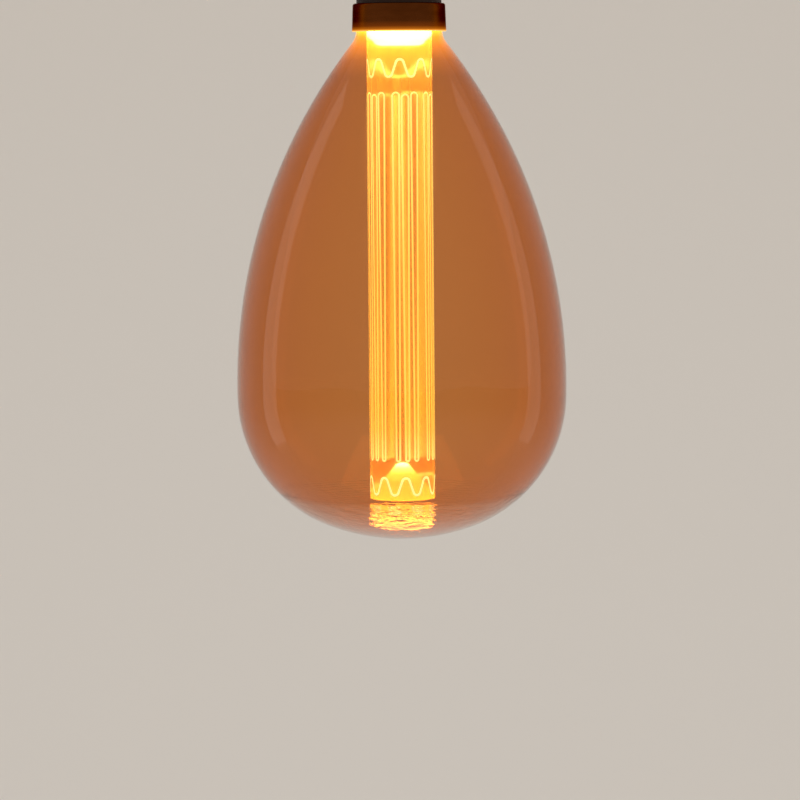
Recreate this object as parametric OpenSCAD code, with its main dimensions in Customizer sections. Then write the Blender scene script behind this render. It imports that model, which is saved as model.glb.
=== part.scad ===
// Decorative LED bulb: a blown amber glass teardrop round a clear light guide that is
// engraved with a filament pattern, on a metal collar with a screw cap. It hangs cap up.
// The origin is the centre of the contact's outer face, and +Z points up out of the cap.

/* [Glass bulb] */
// Largest outside diameter of the glass
glass_d = 165; // [150:1:180]
// Drop from the collar's rim to the widest level
belly_drop = 176; // [160:1:190]
// Radius of the arc that turns in below the widest level
lower_arc_r = 70.4; // [64:0.2:74]
// Angle below the widest level at which that arc begins
lower_arc_start = 1.3; // [0.5:0.1:3]
// Radius of the base arc, which crosses the axis
base_arc_r = 103; // [98:1:115]
// Gap between the housing's skirt and the glass neck round it
neck_gap = 0.3; // [0.2:0.05:0.6]
// Radius of the flare between neck and shoulder
neck_arc_r = 10; // [8:0.5:14]
// Height above the collar's rim at which the neck starts to flare
flare_inset = 0.7; // [0.2:0.1:1.5]
// Gap between the neck's top edge and the housing's flange
neck_top_gap = 1.3; // [0.8:0.1:3]
// Thickness of the blown wall
glass_wall = 1.1; // [0.8:0.1:1.5]

/* [Collar] */
// Height of the collar's visible band
collar_h = 14; // [13:0.5:18]
// Gap for the cement between the glass neck and the collar's top
cement_gap = 0.9; // [0.6:0.1:1.5]
// How far the collar's rim stands out beyond its top on each side
collar_taper = 0.4; // [0:0.1:1]
// Thickness of the collar's sheet
collar_wall = 0.8; // [0.5:0.1:1]
// Radius of the collar's rounded top edge
collar_edge_r = 1.2; // [1.1:0.1:1.4]

/* [Driver housing] */
// Step from the collar's side in to the straight shoulder above it
shoulder_inset = 1.9; // [1.6:0.1:3]
// Height of that straight shoulder
shoulder_h = 3; // [2:0.5:6]
// Thickness of the moulded wall
housing_wall = 1.5; // [1.2:0.1:1.8]
// Thickness of the flange that sits under the collar's top
flange_t = 1.5; // [1:0.1:2]
// Height of the skirt's lower edge above the collar's rim
skirt_inset = 7.5; // [7:0.1:8]
// Thickness of the ribs that hold the driver board's edges
rib_t = 1; // [0.8:0.1:1.2]
// Length of those ribs
rib_len = 16; // [12:1:20]

/* [Screw cap] */
// Outside diameter over the thread's crests
thread_d = 26.2; // [26:0.1:26.5]
// Depth of the thread
thread_depth = 1; // [0.8:0.1:1.2]
// Pitch of the thread
thread_pitch = 3.63; // [3.4:0.01:3.8]
// Full turns of thread
thread_turns = 4; // [4:1:5]
// Thickness of the shell's sheet
shell_sheet = 0.35; // [0.25:0.05:0.5]
// Height of the plain band below the thread
band_h = 4.2; // [3:0.1:6]
// How far the flared rim stands out beyond the thread's crests
shell_flare = 0.7; // [0.4:0.1:1]
// Height of the flared rim
shell_rim_h = 0.8; // [0.5:0.1:1]
// Radius of the shell's turned-in top edge
curl_r = 1.2; // [1:0.1:1.5]
// Diameter of the centre contact's head
contact_d = 10; // [9:0.5:11]
// Thickness of the centre contact's head
contact_h = 1; // [0.8:0.1:1.5]
// Diameter of the centre contact's shank
shank_d = 3.2; // [2.5:0.1:4]
// Height of the insulator's cone between contact and shell
insulator_h = 3.6; // [3:0.1:5]
// Depth of the insulator below the shell's turned-in edge
insulator_plug = 1.8; // [1.5:0.1:2.5]

/* [Light guide] */
// Diameter of the guide's rod
guide_d = 32.6; // [31.6:0.1:33.6]
// Gap between the guide's free end and the bottom of the glass inside
tip_gap = 18.8; // [10:0.1:30]
// Chamfer on the guide's edges
guide_chamfer = 0.4; // [0.2:0.1:0.6]
// Thickness of the flange that the guide hangs by
guide_flange_t = 1.2; // [1:0.1:1.4]
// How far that flange stands out beyond the rod
guide_flange_w = 2.3; // [1.8:0.1:3]
// Diameter of the dish in the upper end, over the LEDs
dish_d = 28; // [27.8:0.1:28.6]
// Depth of that dish
dish_depth = 9.5; // [7:0.5:12]
// Diameter of the dish's flat floor, measured to where its slope would meet it
dish_floor_d = 14.8; // [13:0.2:18]
// Radius of the bend between the dish's floor and its slope
dish_bend_r = 3; // [1:0.5:4]
// Depth of the conical recess in the free end
recess_depth = 18.5; // [15:0.5:22]
// Diameter of that recess at the free end
recess_d = 24; // [20:1:28]
// Radius of the recess's rounded tip
recess_tip_r = 2.6; // [1:0.1:4]
// Width of a hairpin's engraved line
etch_w = 1; // [0.6:0.05:1.2]
// Width of the bands' engraved line
band_w = 1.4; // [0.8:0.1:1.6]
// Depth of an engraved line
etch_depth = 0.35; // [0.3:0.05:0.5]
// Number of groups of three hairpins round the guide
hairpin_groups = 6; // [5:1:6]
// Angle between neighbouring hairpins in a group
hairpin_angle = 16.5; // [15:0.5:18]
// Direction of the first group's middle hairpin, from +X
hairpin_phase = -80.5; // [-110:0.5:-70]
// Gap between the upper ends of neighbouring hairpins
hairpin_gap = 0.2; // [0.1:0.05:0.4]
// Width of a hairpin's narrow lower end, between the middles of its lines
hairpin_low_w = 1.8; // [1.4:0.1:3]
// Drop from the collar's rim to the hairpins' upper ends
hairpin_top = 30; // [28:0.5:34]
// How much lower a group's middle hairpin begins
middle_drop = 1; // [0:0.1:2]
// Height of the hairpins' lower ends above the free end
hairpin_inset = 19.5; // [17:0.5:24]
// Width of the fine stems between the upper band and the hairpins
stem_w = 0.3; // [0.2:0.05:0.5]
// Number of waves in each engraved band
band_waves = 9; // [8:1:10]
// Height of a wave from trough to crest
wave_h = 10; // [8:0.5:10.5]
// Radius of a wave's rounded ends
wave_r = 1.9; // [1.5:0.1:2.1]
// Direction of the upper band's first crest, from +X
wave_phase = -89.5; // [-120:0.5:-70]
// Turn of the lower band against the upper one
lower_band_turn = 5.5; // [0:0.5:20]
// Drop from the collar's rim to the middle of the upper band
upper_band = 18.4; // [17:0.1:20]
// Height of the lower band's middle above the free end
lower_band_inset = 7.2; // [6.4:0.1:9]

/* [Guide holder] */
// Thickness of the lip that carries the guide's flange
lip_t = 0.8; // [0.6:0.1:1]
// Thickness of the ring round the flange
holder_wall = 1.2; // [0.8:0.1:2]
// Chamfer on the holder's lower edge
holder_chamfer = 0.4; // [0.2:0.1:0.6]

/* [LED board and heat sink] */
// Number of LEDs, a multiple of three
led_count = 12; // [9:3:15]
// Radius of the circle that the LEDs stand on
led_circle_r = 12.5; // [11.5:0.1:13.5]
// Length of an LED, along the ring
led_l = 3.5; // [3:0.1:3.6]
// Width of an LED, across the ring
led_w = 2.8; // [2.4:0.1:3]
// Height of an LED
led_h = 0.8; // [0.7:0.1:1]
// Width of the plastic rim round an LED's phosphor
led_rim = 0.5; // [0.4:0.1:0.7]
// Depth of an LED's phosphor
phosphor_t = 0.5; // [0.3:0.05:0.55]
// Gap between the LEDs and the guide's upper end
led_gap = 0.3; // [0.2:0.1:0.5]
// Thickness of the LED board
board_t = 1; // [0.8:0.1:1.6]
// Thickness of the thermal pad
pad_t = 0.4; // [0.3:0.1:0.6]
// Thickness of the heat sink's plate
sink_t = 2.8; // [2.6:0.1:3.2]
// Height of the plate's step, which the holder is pressed on
sink_step = 1.8; // [1.5:0.1:2]
// Height of the heat sink's spigot in the housing
spigot_h = 4; // [3:0.5:4]
// Thickness of that spigot
spigot_t = 2; // [1.5:0.1:2.5]
// Diameter of the heat sink's hole for the LED leads
lead_hole_d = 9; // [8:0.2:9.4]
// Distance of the two soldered LED leads from the axis
solder_r = 3; // [2.4:0.1:3.2]
// Thread diameter of the board screws
screw_d = 2.5; // [2:0.1:3]
// Diameter of the screws' flat heads
screw_head_d = 4.4; // [4:0.1:5]
// Height of the screws' heads
screw_head_h = 0.6; // [0.5:0.1:0.7]
// Radius of the circle that the screws stand on
screw_circle_r = 7.4; // [7:0.1:7.8]
// Length of screw beyond the heat sink's plate
screw_spare = 0.6; // [0.3:0.1:1]

/* [Driver board] */
// Gap between the driver board's edges and the housing's neck
driver_side_gap = 0.7; // [0.3:0.1:1.5]
// Thickness of the driver board
driver_t = 1.2; // [1:0.1:1.6]
// Gap between the insulator and the board's upper edge
driver_top_gap = 4; // [3:0.5:5]
// Gap between the heat sink's plate and the board's lower edge
driver_low_gap = 1.5; // [1:0.5:3]
// Diameter of the smoothing capacitor
cap_d = 8; // [6.3:0.1:8]
// Length of the smoothing capacitor
cap_l = 12; // [10:0.5:12]
// Diameter of the choke's flanges
choke_d = 8; // [6:0.5:8]
// Length of the choke
choke_l = 9; // [7:0.5:10]
// Diameter of the fuse resistor
fuse_d = 3; // [2.5:0.1:3.5]
// Length of the fuse resistor
fuse_l = 8; // [6:0.5:9]
// Diameter of the insulated leads
lead_d = 1.1; // [0.8:0.1:1.3]
// Diameter of bare component wires
wire_d = 0.6; // [0.5:0.1:0.8]

/* [Hidden] */
$fn = 96;
arc_step = 5;      // longest straight step along a large arc
arc_turn = 6;      // largest turn between two steps of an arc
fit = 0.1;         // radial clearance where one piece slips over another
press = 0.05;      // radial clearance where pieces are pressed or crimped
past = 1;          // how far a cutting shape runs past a face

// Levels of the screw cap, downwards from the contact's face
shell_top = -(contact_h + insulator_h);
thread_top = shell_top - curl_r;
band_top = thread_top - (thread_turns + 0.5) * thread_pitch;
cap_rim = band_top - band_h - shell_rim_h;
crest_r = thread_d / 2;
root_r = crest_r - thread_depth;
lip_r = root_r - curl_r;
insulator_low = thread_top - insulator_plug;

// Levels and radii of the housing and the collar
guide_r = guide_d / 2;
board_r = guide_r + guide_flange_w;
holder_bore_r = board_r + fit;
holder_r = holder_bore_r + holder_wall;
skirt_r = holder_r + fit;
skirt_bore_r = skirt_r - housing_wall;
neck_r = skirt_r + neck_gap + glass_wall;
collar_top_r = neck_r + cement_gap + collar_wall;
collar_rim_r = collar_top_r + collar_taper;
seat_r = crest_r + shell_flare + 0.4;
shoulder_r = collar_top_r - shoulder_inset;
dome_r = shoulder_r - seat_r;
collar_top = cap_rim - dome_r - shoulder_h;
rim = collar_top - collar_h;
flange_top = collar_top - collar_wall;
flange_low = flange_top - flange_t;
flange_r = collar_top_r - collar_edge_r;
housing_neck_r = root_r - shell_sheet - press;
neck_bore_r = housing_neck_r - housing_wall;
housing_top = insulator_low - fit;
skirt_low = rim + skirt_inset;

// The glass outline: tangent arcs for flare, shoulder, lower side and base
glass_r = glass_d / 2;
belly = rim - belly_drop;
flare_c = [neck_r + neck_arc_r, rim + flare_inset];
flare_gap = flare_c.x - glass_r;
upper_arc_r = (pow(flare_c.y - belly, 2) + pow(flare_gap, 2) - pow(neck_arc_r, 2))
    / (2 * (neck_arc_r - flare_gap));
upper_c = [glass_r - upper_arc_r, belly];
flare_turn = atan2(flare_c.y - upper_c.y, flare_c.x - upper_c.x);
lower_c = upper_c
    + (upper_arc_r - lower_arc_r) * [cos(lower_arc_start), -sin(lower_arc_start)];
base_c = [0, lower_c.y + sqrt(pow(base_arc_r - lower_arc_r, 2) - pow(lower_c.x, 2))];
base_turn = atan2(lower_c.y - base_c.y, lower_c.x);
glass_low = base_c.y - base_arc_r;
neck_top = flange_low - neck_top_gap;

// The stack below the housing: heat sink, pad, board, LEDs and light guide
sink_low = skirt_low - sink_t;
pad_low = sink_low - pad_t;
board_low = pad_low - board_t;
led_low = board_low - led_h;
guide_top = led_low - led_gap;
guide_end = glass_low + glass_wall + tip_gap;
guide_flange_low = guide_top - guide_flange_t;
screw_angles = [90, 210, 330];

// The driver board and what stands on it
driver_w = 2 * (neck_bore_r - driver_side_gap);
driver_top = insulator_low - driver_top_gap;
driver_low = skirt_low + driver_low_gap;
front = driver_t / 2;
cap_top = driver_low + 1 + cap_l;
choke_top = driver_low + 1 + choke_l;
cap_y = front + cap_d / 2 + fit;
cap_pin_x = 1.8;
cap_pin_rise = 1.5;
sleeve_t = 0.2;
choke_y = -(front + choke_d / 2 + fit);
choke_pin_x = 2.5;
choke_pin_rise = 1;
choke_flange = 1.2;
fuse_x = driver_w / 4;
fuse_y = front + fuse_d / 2 + fit;
fuse_top = driver_top - 2;
fuse_pin_drop = 1;
film_size = [7.2, 4, 6];
chip_z = cap_top + cap_pin_rise + 3.8;

// Points of an arc about c, without the first one, so that arcs join into one outline
function arc(c, r, from, to, steps) =
    [for (i = [1:steps]) let (a = from + (to - from) * i / steps) c + r * [cos(a), sin(a)]];

// Steps that keep an arc smooth
function arc_steps(r, turn) =
    ceil(max(abs(turn) / arc_turn, abs(turn) * PI / 180 * r / arc_step));

function reversed(list) = [for (i = [len(list) - 1:-1:0]) list[i]];

// The glass surface set in by t, from the neck's top edge down to the axis
function glass_outline(t) = concat(
    [[neck_r - t, neck_top], [neck_r - t, flare_c.y]],
    arc(flare_c, neck_arc_r + t, 180, 180 + flare_turn, arc_steps(neck_arc_r, flare_turn)),
    arc(upper_c, upper_arc_r - t, flare_turn, -lower_arc_start,
        arc_steps(upper_arc_r, flare_turn + lower_arc_start)),
    arc(lower_c, lower_arc_r - t, -lower_arc_start, base_turn,
        arc_steps(lower_arc_r, base_turn + lower_arc_start)),
    arc(base_c, base_arc_r - t, base_turn, -90, arc_steps(base_arc_r, base_turn + 90)));

module glass_bulb() {
    color([0.72, 0.36, 0.08, 0.4])
        rotate_extrude()
            polygon(concat(glass_outline(0), reversed(glass_outline(glass_wall))));
}

// The collar's sheet, from its rounded lip up the side and over the top to the housing
collar_edge_c = [collar_top_r - collar_edge_r, collar_top - collar_edge_r];
collar_lip_c = [collar_rim_r - collar_wall / 2, rim + collar_wall / 2];

// Inner radius of the collar's side at height z
function collar_bore_r(z) =
    let (low = collar_lip_c + [-collar_wall / 2, 0],
         high = collar_edge_c + [collar_edge_r - collar_wall, 0])
    low.x + (high.x - low.x) * (z - low.y) / (high.y - low.y);

module collar() {
    hole_r = shoulder_r + fit;
    lip = arc(collar_lip_c, collar_wall / 2, 180, 360, 8);
    edge = arc(collar_edge_c, collar_edge_r, 0, 90, 8);
    under = arc(collar_edge_c, collar_edge_r - collar_wall, 90, 0, 4);
    color("darkgoldenrod")
        rotate_extrude()
            polygon(concat(
                [collar_lip_c - [collar_wall / 2, 0]], lip,
                [collar_edge_c + [collar_edge_r, 0]], edge,
                [[hole_r, collar_top], [hole_r, flange_top], [collar_edge_c.x, flange_top]],
                under));
}

// The cement that joins glass neck, collar and housing
module neck_cement() {
    low = flare_c.y + 0.5;
    color("ivory")
        rotate_extrude()
            polygon([
                [neck_r, low], [collar_bore_r(low), low],
                [collar_bore_r(flange_low), flange_low], [skirt_r, flange_low],
                [skirt_r, neck_top], [neck_r, neck_top]
            ]);
}

// One pair of ribs that holds an edge of the driver board, on the +X side
module board_ribs() {
    reach = neck_bore_r + housing_wall / 2;
    for (side = [-1, 1])
        translate([driver_w / 2 - rib_t, side * (front + fit + rib_t / 2) - rib_t / 2,
                   driver_top - rib_len])
            cube([reach - driver_w / 2 + rib_t, rib_t, rib_len]);
}

// The moulded housing: a neck in the screw shell, a domed shoulder and a skirt in the glass
module driver_housing() {
    dome_c = [seat_r, cap_rim - dome_r];
    dome = arc(dome_c, dome_r, 90, 0, 12);
    vault = arc(dome_c, dome_r - housing_wall, 0, 90, 12);
    vault_r = dome_c.x + dome_r - housing_wall;
    color([0.12, 0.1, 0.09])
        difference() {
            union() {
                rotate_extrude()
                    polygon(concat(
                        [[neck_bore_r, housing_top], [housing_neck_r, housing_top],
                         [housing_neck_r, cap_rim], [seat_r, cap_rim]],
                        dome,
                        [[shoulder_r, flange_top], [flange_r, flange_top],
                         [flange_r, flange_low], [skirt_r, flange_low],
                         [skirt_r, skirt_low], [skirt_bore_r, skirt_low],
                         [skirt_bore_r, flange_low], [vault_r, flange_top],
                         [vault_r, dome_c.y]],
                        vault,
                        [[neck_bore_r, cap_rim - housing_wall]]));
                board_ribs();
                mirror([1, 0, 0]) board_ribs();
            }
            neutral_groove();
        }
}

// The neutral lead's way: a groove outside the neck and a notch through its top edge
groove_w = lead_d + 2 * fit;
groove_len = 8;
notch_h = 3;
module neutral_groove() {
    translate([housing_neck_r - groove_w, -groove_w / 2, housing_top - groove_len])
        cube([groove_w + past, groove_w, groove_len + past]);
    translate([neck_bore_r - past, -groove_w / 2, housing_top - notch_h])
        cube([housing_wall + 2 * past, groove_w, notch_h + past]);
}

// The rolled thread: a cosine wave whose crests and roots are flattened a little
thread_steps = 16; // points in one turn's profile
function thread_wave(u) = min(1, max(0, 0.5 - 0.56 * cos(360 * u)));
function thread_profile(t) = [
    for (i = [1:thread_steps * (thread_turns + 0.5)])
        let (u = i / thread_steps)
        [root_r - t + thread_depth * thread_wave(u), thread_top - u * thread_pitch]
];

// The shell's surface set in by t, from its turned-in top edge down to its flared rim
function shell_outline(t) = concat(
    [[lip_r, shell_top - t]],
    arc([lip_r, thread_top], curl_r - t, 90, 0, 6),
    thread_profile(t),
    [[crest_r - t, cap_rim + shell_rim_h], [crest_r + shell_flare - t, cap_rim]]);

module screw_shell() {
    color("silver")
        rotate_extrude()
            polygon(concat(shell_outline(0), reversed(shell_outline(shell_sheet))));
}

module cap_insulator() {
    plug_r = root_r - shell_sheet - press;
    bore_r = shank_d / 2 + press;
    color([0.09, 0.08, 0.1])
        rotate_extrude()
            polygon(concat(
                [[bore_r, -contact_h], [contact_d / 2 + 0.6, -contact_h],
                 [lip_r - press, shell_top],
                 [lip_r - press, shell_top - shell_sheet - press]],
                arc([lip_r - press, thread_top], curl_r - shell_sheet - press, 90, 0, 4),
                [[plug_r - press, insulator_low], [bore_r, insulator_low]]));
}

// The contact: a flat-faced head with a rounded edge, on a shank through the insulator
module centre_contact() {
    edge_r = contact_h * 0.9;
    head_r = contact_d / 2;
    color("lightgray")
        rotate_extrude()
            polygon(concat(
                [[0, 0], [head_r - edge_r, 0]],
                arc([head_r - edge_r, -edge_r], edge_r, 90, 0, 8),
                [[head_r, -contact_h], [shank_d / 2, -contact_h],
                 [shank_d / 2, insulator_low - 1], [0, insulator_low - 1]]));
}

// Sets a flat outline, drawn with x along the guide's girth, as a cut into its side.
// The outline's origin comes to angle a and height z.
module etched(a, z) {
    rotate([0, 0, a])
        translate([guide_r - etch_depth, 0, z])
            rotate([90, 0, 90])
                linear_extrude(height = etch_depth + past) children();
}

// The rounded end of a line of width w: the part of a ring of mean radius r above height y
module etched_bend(r, y, w) {
    intersection() {
        difference() {
            circle(r = r + w / 2);
            circle(r = r - w / 2);
        }
        translate([-r - w, y]) square([2 * (r + w), 2 * r + w]);
    }
}

// A hairpin with a round upper end, two leaning legs and a narrower lower end.
// Its lines meet the bends as a belt meets two pulleys.
hairpin_top_r = (guide_r * hairpin_angle * PI / 180 - etch_w - hairpin_gap) / 2;
hairpin_low_r = hairpin_low_w / 2;
module etched_hairpin(a, drop) {
    top_z = rim - hairpin_top - drop - etch_w / 2 - hairpin_top_r;
    low_z = guide_end + hairpin_inset + etch_w / 2 + hairpin_low_r;
    reach = top_z - low_z;
    lean = asin((hairpin_top_r - hairpin_low_r) / reach);
    leg = reach * cos(lean);
    mean_r = (hairpin_top_r + hairpin_low_r) / 2;
    turn = asin(mean_r * cos(lean) / guide_r);
    etched(a, top_z) etched_bend(hairpin_top_r, -hairpin_top_r * sin(lean), etch_w);
    etched(a, low_z) rotate(180) etched_bend(hairpin_low_r, hairpin_low_r * sin(lean), etch_w);
    for (side = [-1, 1])
        etched(a + side * turn, (top_z + low_z) / 2 - mean_r * sin(lean))
            rotate(-side * lean) translate([-etch_w / 2, -leg / 2]) square([etch_w, leg]);
}

// A group of three hairpins, and the two fine stems that come down between their ends
module etched_group(a) {
    stem_top = rim - upper_band - wave_h / 2;
    stem_low = rim - hairpin_top - 1.2;
    for (k = [-1, 0, 1]) etched_hairpin(a + k * hairpin_angle, k == 0 ? middle_drop : 0);
    for (side = [-1, 1])
        etched(a + side * hairpin_angle / 2, stem_low)
            translate([-stem_w / 2, 0]) square([stem_w, stem_top - stem_low]);
}

// A band of waves round the guide: bends joined by slanted legs, all tangent to each other
module etched_band(z, phase) {
    half_turn = 180 / band_waves;
    half_pitch = guide_r * half_turn * PI / 180;
    bend_gap = wave_h - band_w - 2 * wave_r;
    centres = norm([half_pitch, bend_gap]);
    slant = atan2(half_pitch, bend_gap) - asin(2 * wave_r / centres);
    leg = sqrt(pow(centres, 2) - pow(2 * wave_r, 2));
    for (k = [0:2 * band_waves - 1]) {
        side = k % 2 == 0 ? 1 : -1;
        a = phase + k * half_turn;
        etched(a, z + side * bend_gap / 2)
            rotate(side > 0 ? 0 : 180) etched_bend(wave_r, wave_r * sin(slant), band_w);
        etched(a + half_turn / 2, z)
            rotate(side * slant) translate([-band_w / 2, -leg / 2]) square([band_w, leg]);
    }
}

// The clear rod hangs by a flange. A dish over the LEDs takes in their light, and a
// conical recess in the free end turns it outwards.
module light_guide() {
    c = guide_chamfer;
    dish_floor = guide_top - dish_depth;
    dish_slope = atan2(dish_depth, (dish_d - dish_floor_d) / 2);
    bend_c = [dish_floor_d / 2 - dish_bend_r * tan(dish_slope / 2), dish_floor + dish_bend_r];
    tip_rise = recess_depth - recess_tip_r;
    tip_c = [0, guide_end + tip_rise];
    recess_slope = atan2(tip_rise, recess_d / 2)
        + asin(recess_tip_r / norm([recess_d / 2, tip_rise]));
    color([0.95, 0.9, 0.8, 0.5])
        difference() {
            rotate_extrude()
                polygon(concat(
                    [[0, dish_floor], [bend_c.x, dish_floor]],
                    arc(bend_c, dish_bend_r, -90, dish_slope - 90, 8),
                    [[dish_d / 2, guide_top], [board_r, guide_top], [board_r, guide_flange_low],
                     [guide_r, guide_flange_low], [guide_r, guide_end + c],
                     [guide_r - c, guide_end], [recess_d / 2, guide_end],
                     tip_c + recess_tip_r * [sin(recess_slope), cos(recess_slope)]],
                    arc(tip_c, recess_tip_r, 90 - recess_slope, 90, 8)));
            for (k = [0:hairpin_groups - 1])
                etched_group(hairpin_phase + k * 360 / hairpin_groups);
            etched_band(rim - upper_band, wave_phase);
            etched_band(guide_end + lower_band_inset, wave_phase + lower_band_turn);
        }
}

// The white ring whose lip carries the guide's flange; it is pressed on the heat sink
module guide_holder() {
    lip_low = guide_flange_low - lip_t;
    c = holder_chamfer;
    color("white")
        rotate_extrude()
            polygon([
                [guide_r + fit, lip_low], [holder_r - c, lip_low], [holder_r, lip_low + c],
                [holder_r, sink_low + sink_step], [holder_bore_r, sink_low + sink_step],
                [holder_bore_r, guide_flange_low], [guide_r + fit, guide_flange_low]
            ]);
}

// Bores for the board screws through board, pad and heat sink
module screw_bores(clearance) {
    for (a = screw_angles)
        rotate([0, 0, a])
            translate([screw_circle_r, 0, board_low - past])
                cylinder(h = skirt_low - board_low + 2 * past, r = screw_d / 2 + clearance);
}

// The hole that the LED leads pass through, in pad and heat sink
module lead_hole() {
    translate([0, 0, pad_low - past])
        cylinder(h = skirt_low - pad_low + 2 * past, r = lead_hole_d / 2);
}

module led_board() {
    color("whitesmoke")
        difference() {
            translate([0, 0, board_low]) cylinder(h = board_t, r = board_r);
            screw_bores(fit);
            for (side = [-1, 1])
                translate([side * solder_r, 0, board_low - past])
                    cylinder(h = board_t + 2 * past, r = lead_d / 2 + press);
        }
}

module thermal_pad() {
    color("lightblue")
        difference() {
            translate([0, 0, pad_low]) cylinder(h = pad_t, r = board_r - 0.5);
            screw_bores(2 * fit);
            lead_hole();
        }
}

module heat_sink() {
    spigot_r = skirt_bore_r - press;
    step_r = holder_bore_r - press;
    color("lightgray")
        difference() {
            rotate_extrude()
                polygon([
                    [0, sink_low], [step_r, sink_low], [step_r, sink_low + sink_step],
                    [skirt_r, sink_low + sink_step], [skirt_r, skirt_low],
                    [spigot_r, skirt_low], [spigot_r, skirt_low + spigot_h],
                    [spigot_r - spigot_t, skirt_low + spigot_h],
                    [spigot_r - spigot_t, skirt_low], [0, skirt_low]
                ]);
            screw_bores(press);
            lead_hole();
        }
}

// Places a part under the LED board at each LED, with x across the ring
module at_leds() {
    for (k = [0:led_count - 1])
        rotate([0, 0, k * 360 / led_count])
            translate([led_circle_r, 0, led_low]) children();
}

module led_packages() {
    color("snow")
        at_leds()
            difference() {
                translate([-led_w / 2, -led_l / 2, 0]) cube([led_w, led_l, led_h]);
                translate([-led_w / 2 + led_rim, -led_l / 2 + led_rim, -past])
                    cube([led_w - 2 * led_rim, led_l - 2 * led_rim, phosphor_t + past]);
            }
}

module led_phosphors() {
    color("gold")
        at_leds()
            translate([-led_w / 2 + led_rim, -led_l / 2 + led_rim, 0])
                cube([led_w - 2 * led_rim, led_l - 2 * led_rim, phosphor_t]);
}

module board_screws() {
    drive_d = screw_head_d * 0.45;
    color("silver")
        for (a = screw_angles)
            rotate([0, 0, a])
                translate([screw_circle_r, 0, 0])
                    difference() {
                        union() {
                            translate([0, 0, board_low - screw_head_h])
                                cylinder(h = screw_head_h, r = screw_head_d / 2);
                            translate([0, 0, board_low])
                                cylinder(h = skirt_low + screw_spare - board_low,
                                         r = screw_d / 2);
                        }
                        translate([0, 0, board_low - screw_head_h - past])
                            cylinder(h = past + screw_head_h * 0.7, r = drive_d / 2, $fn = 6);
                    }
}

module driver_board() {
    color("darkgreen")
        difference() {
            translate([-driver_w / 2, -front, driver_low])
                cube([driver_w, driver_t, driver_top - driver_low]);
            for (x = [-1, 1]) {
                pin_hole([x * cap_pin_x, cap_top + cap_pin_rise]);
                pin_hole([x * choke_pin_x, choke_top + choke_pin_rise]);
            }
            pin_hole([fuse_x, fuse_top - fuse_l - fuse_pin_drop]);
        }
}

// A hole through the driver board for a component wire, at p = [x, z]
module pin_hole(p) {
    translate([p.x, 0, p.y])
        rotate([90, 0, 0])
            cylinder(h = driver_t + 2 * past, r = wire_d / 2 + press, center = true);
}

// A component wire that leaves along z and turns into the board, on the side given.
// It starts at [x, z], depth from the board's face, and runs the given rise.
module bent_pin(x, z, depth, rise, side) {
    r = wire_d / 2;
    way = sign(rise);
    bend_z = z + rise;
    y = side * (front + depth);
    translate([x, y, min(z, bend_z)]) cylinder(h = abs(rise), r = r, $fn = 24);
    translate([x, y, bend_z]) sphere(r = r, $fn = 24);
    translate([x, side > 0 ? -front - r : y, bend_z])
        rotate([-90, 0, 0])
            cylinder(h = depth + driver_t + r, r = r, $fn = 24);
}

// A moulded chip on the driver board: body [z size, x size, height], with legs to both sides
module chip(centre, size, side, legs, pitch, reach) {
    leg_w = 0.4;
    foot_t = 0.2;
    translate([centre.x, side * front, centre.y])
        rotate([side > 0 ? -90 : 90, 0, 0]) rotate([0, 0, 90]) {
            translate([-size.x / 2, -size.y / 2, foot_t])
                cube([size.x, size.y, size.z]);
            for (k = [0:legs - 1])
                translate([(k - (legs - 1) / 2) * pitch - leg_w / 2,
                           -size.y / 2 - reach, 0])
                    difference() {
                        cube([leg_w, size.y + 2 * reach, foot_t + size.z / 2]);
                        translate([-past, foot_t, foot_t])
                            cube([leg_w + 2 * past, reach - 2 * foot_t, size.z]);
                        translate([-past, size.y + reach + foot_t, foot_t])
                            cube([leg_w + 2 * past, reach, size.z]);
                    }
        }
}

module bridge_rectifier() {
    color([0.15, 0.15, 0.16]) chip([0, driver_top - 3.4], [4.7, 3.9, 2.4], -1, 2, 2.5, 1.4);
}

module driver_chip() {
    color([0.13, 0.13, 0.14]) chip([0, chip_z], [4.9, 3.9, 1.5], -1, 4, 1.27, 1);
}

module sense_resistors() {
    size = [3.2, 0.55, 1.6];
    color([0.2, 0.2, 0.22])
        for (x = [-1, 1], row = [0, 1])
            translate([x * driver_w * 0.33 - size.x / 2, -front - size.y,
                       driver_low + 2 + 3 * row])
                cube(size);
}

module film_capacitor() {
    color("firebrick")
        translate([-driver_w / 2 + 1.5, front, driver_top - 3 - film_size.z])
            cube(film_size);
}

// The smoothing capacitor lies on the board with its wires upwards
module smoothing_capacitor() {
    can_r = cap_d / 2 - sleeve_t;
    groove = 0.35;
    color("silver")
        union() {
            translate([0, cap_y, cap_top - cap_l])
                rotate_extrude()
                    polygon([
                        [0, 0.2], [can_r - 0.6, 0.2], [can_r - 0.5, 0], [can_r - 0.2, 0],
                        [can_r, 0.3], [can_r, cap_l - 2], [can_r - groove, cap_l - 1.6],
                        [can_r, cap_l - 1.2], [can_r, cap_l - 0.3],
                        [can_r - 0.4, cap_l], [0, cap_l]
                    ]);
            for (x = [-1, 1])
                bent_pin(x * cap_pin_x, cap_top, cap_d / 2 + fit, cap_pin_rise, 1);
        }
}

module capacitor_sleeve() {
    can_r = cap_d / 2 - sleeve_t;
    color("midnightblue")
        translate([0, cap_y, cap_top - cap_l + 0.3])
            difference() {
                cylinder(h = cap_l - 2.4, r = cap_d / 2);
                translate([0, 0, -past]) cylinder(h = cap_l + past, r = can_r);
            }
}

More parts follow.
